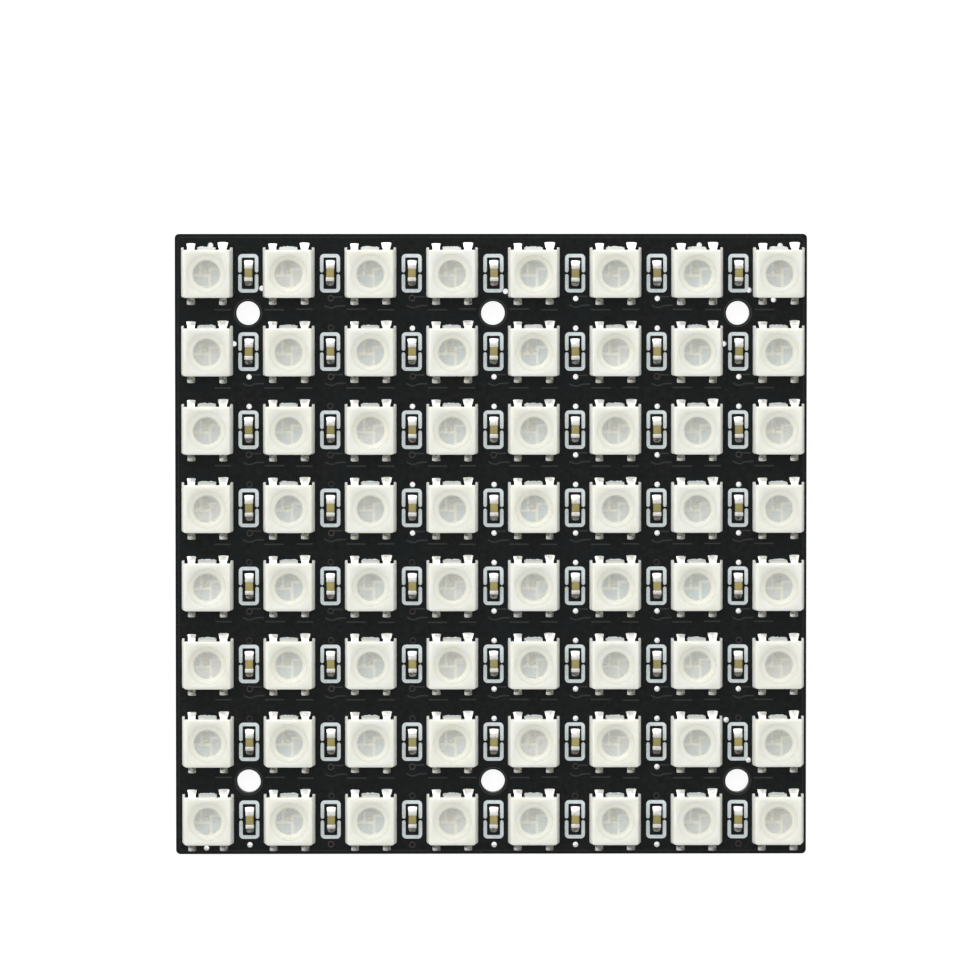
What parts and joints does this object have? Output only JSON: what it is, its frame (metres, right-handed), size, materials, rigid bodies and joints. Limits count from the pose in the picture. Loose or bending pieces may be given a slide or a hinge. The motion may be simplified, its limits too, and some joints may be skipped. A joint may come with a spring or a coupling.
{
  "type": "rgb led matrix panel",
  "caption": "Square black circuit board carrying a close grid of white surface-mount RGB LED packages, with chip capacitors between them and screw holes.",
  "frame": {"origin": "centre of the board's back face", "axes": "+Z out of the LED face, +X along the rows to the right as the picture shows it, +Y up the columns to the picture's top edge"},
  "size_m": [0.061, 0.06, 0.0032],
  "materials": {
    "solder_mask": "satin",
    "board_laminate": "matte",
    "silkscreen": "matte",
    "led_housing": "satin",
    "led_resin": "clear",
    "leadframe": "satin",
    "solder": "bright",
    "copper": "satin",
    "capacitor_ceramic": "satin",
    "led_die": "clear"
  },
  "bodies": {
    "root": {"circuit_board": "solder_mask", "capacitor_r1_c1": "capacitor_ceramic", "capacitor_r1_c2": "capacitor_ceramic", "capacitor_r1_c3": "capacitor_ceramic", "capacitor_r1_c4": "capacitor_ceramic", "capacitor_r1_c5": "capacitor_ceramic", "capacitor_r1_c6": "capacitor_ceramic", "capacitor_r1_c7": "capacitor_ceramic", "capacitor_r2_c1": "capacitor_ceramic", "capacitor_r2_c2": "capacitor_ceramic", "capacitor_r2_c3": "capacitor_ceramic", "capacitor_r2_c4": "capacitor_ceramic", "capacitor_r2_c5": "capacitor_ceramic", "capacitor_r2_c6": "capacitor_ceramic", "capacitor_r2_c7": "capacitor_ceramic", "capacitor_r3_c1": "capacitor_ceramic", "capacitor_r3_c2": "capacitor_ceramic", "capacitor_r3_c3": "capacitor_ceramic", "capacitor_r3_c4": "capacitor_ceramic", "capacitor_r3_c5": "capacitor_ceramic", "capacitor_r3_c6": "capacitor_ceramic", "capacitor_r3_c7": "capacitor_ceramic", "capacitor_r4_c1": "capacitor_ceramic", "capacitor_r4_c2": "capacitor_ceramic", "capacitor_r4_c3": "capacitor_ceramic", "capacitor_r4_c4": "capacitor_ceramic", "capacitor_r4_c5": "capacitor_ceramic", "capacitor_r4_c6": "capacitor_ceramic", "capacitor_r4_c7": "capacitor_ceramic", "capacitor_r5_c1": "capacitor_ceramic", "capacitor_r5_c2": "capacitor_ceramic", "capacitor_r5_c3": "capacitor_ceramic", "capacitor_r5_c4": "capacitor_ceramic", "capacitor_r5_c5": "capacitor_ceramic", "capacitor_r5_c6": "capacitor_ceramic", "capacitor_r5_c7": "capacitor_ceramic", "capacitor_r6_c1": "capacitor_ceramic", "capacitor_r6_c2": "capacitor_ceramic", "capacitor_r6_c3": "capacitor_ceramic", "capacitor_r6_c4": "capacitor_ceramic", "capacitor_r6_c5": "capacitor_ceramic", "capacitor_r6_c6": "capacitor_ceramic", "capacitor_r6_c7": "capacitor_ceramic", "capacitor_r7_c1": "capacitor_ceramic", "capacitor_r7_c2": "capacitor_ceramic", "capacitor_r7_c3": "capacitor_ceramic", "capacitor_r7_c4": "capacitor_ceramic", "capacitor_r7_c5": "capacitor_ceramic", "capacitor_r7_c6": "capacitor_ceramic", "capacitor_r7_c7": "capacitor_ceramic", "capacitor_r8_c1": "capacitor_ceramic", "capacitor_r8_c2": "capacitor_ceramic", "capacitor_r8_c3": "capacitor_ceramic", "capacitor_r8_c4": "capacitor_ceramic", "capacitor_r8_c5": "capacitor_ceramic", "capacitor_r8_c6": "capacitor_ceramic", "capacitor_r8_c7": "capacitor_ceramic"}
  },
  "joints": []
}
